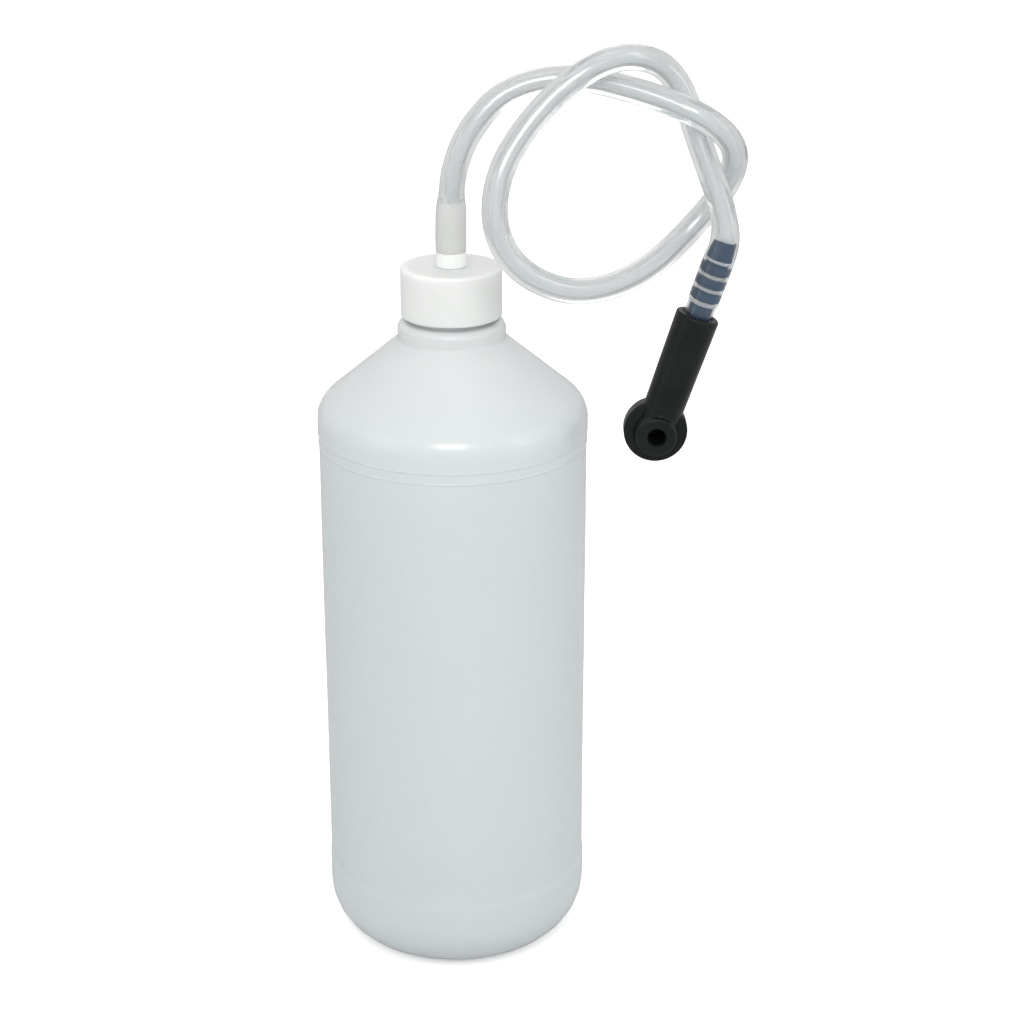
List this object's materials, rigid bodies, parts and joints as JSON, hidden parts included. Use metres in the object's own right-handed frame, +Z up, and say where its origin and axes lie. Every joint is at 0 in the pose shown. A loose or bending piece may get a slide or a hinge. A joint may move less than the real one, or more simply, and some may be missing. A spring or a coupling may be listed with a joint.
{
  "type": "brake fluid bleeding bottle",
  "caption": "Translucent plastic catch bottle with a screw cap, check-valve hose spigot, knotted clear hose, barbed joiner and rubber elbow that pushes onto a bleed nipple.",
  "frame": {"origin": "centre of the ring the bottle stands on", "axes": "+Z up along the bottle's axis, +X towards the side the hose hangs on, the elbow's nipple hole facing -Y"},
  "size_m": [0.1342, 0.086, 0.3005],
  "materials": {
    "bottle": "translucent natural polyethylene, soft sheen",
    "cap": "natural white moulded plastic, fine matte",
    "liner": "soft foam sealing washer",
    "spigot": "natural translucent moulded plastic",
    "gasket": "black nitrile washer",
    "nut": "natural moulded plastic",
    "ball": "polished stainless steel",
    "spring": "drawn stainless spring wire",
    "retainer": "natural moulded plastic",
    "hose": "clear flexible vinyl, glossy",
    "joiner": "translucent blue moulded plastic",
    "elbow": "black moulded rubber, soft sheen"
  },
  "bodies": {
    "bottle": {"bottle": "bottle"},
    "liner": {"cap_liner": "liner"},
    "cap": {"cap": "cap", "hose_spigot": "spigot", "spigot_gasket": "gasket", "spigot_nut": "nut", "valve_retainer": "retainer", "check_spring": "spring", "hose": "hose", "barbed_joiner": "joiner"},
    "ball": {"check_ball": "ball"},
    "elbow": {"bleed_elbow": "elbow"}
  },
  "joints": [
    {"name": "cap_lift", "type": "slide", "parent": "bottle", "child": "liner", "axis": [0, 0, 1], "range_m": [0, 0.0085]},
    {"name": "cap_turn", "type": "hinge", "parent": "liner", "child": "cap", "pos_m": [0, 0, 0.2291], "axis": [0, 0, 1], "range_deg": [0, 720]},
    {"name": "ball_lift", "type": "slide", "parent": "cap", "child": "ball", "axis": [0, 0, -1], "range_m": [0, 0.0012], "stiffness_N_per_m": 30, "springref_m": -0.0005, "deforming": ["check_spring"]},
    {"name": "elbow_turn", "type": "hinge", "parent": "cap", "child": "elbow", "pos_m": [0.07673, -0.006, 0.21751], "axis": [0.3123, 0, 0.95], "continuous": true}
  ],
  "couplings": [
    {"joint": "cap_lift", "follows": "cap_turn", "m_per_rad": 0.00067323}
  ]
}
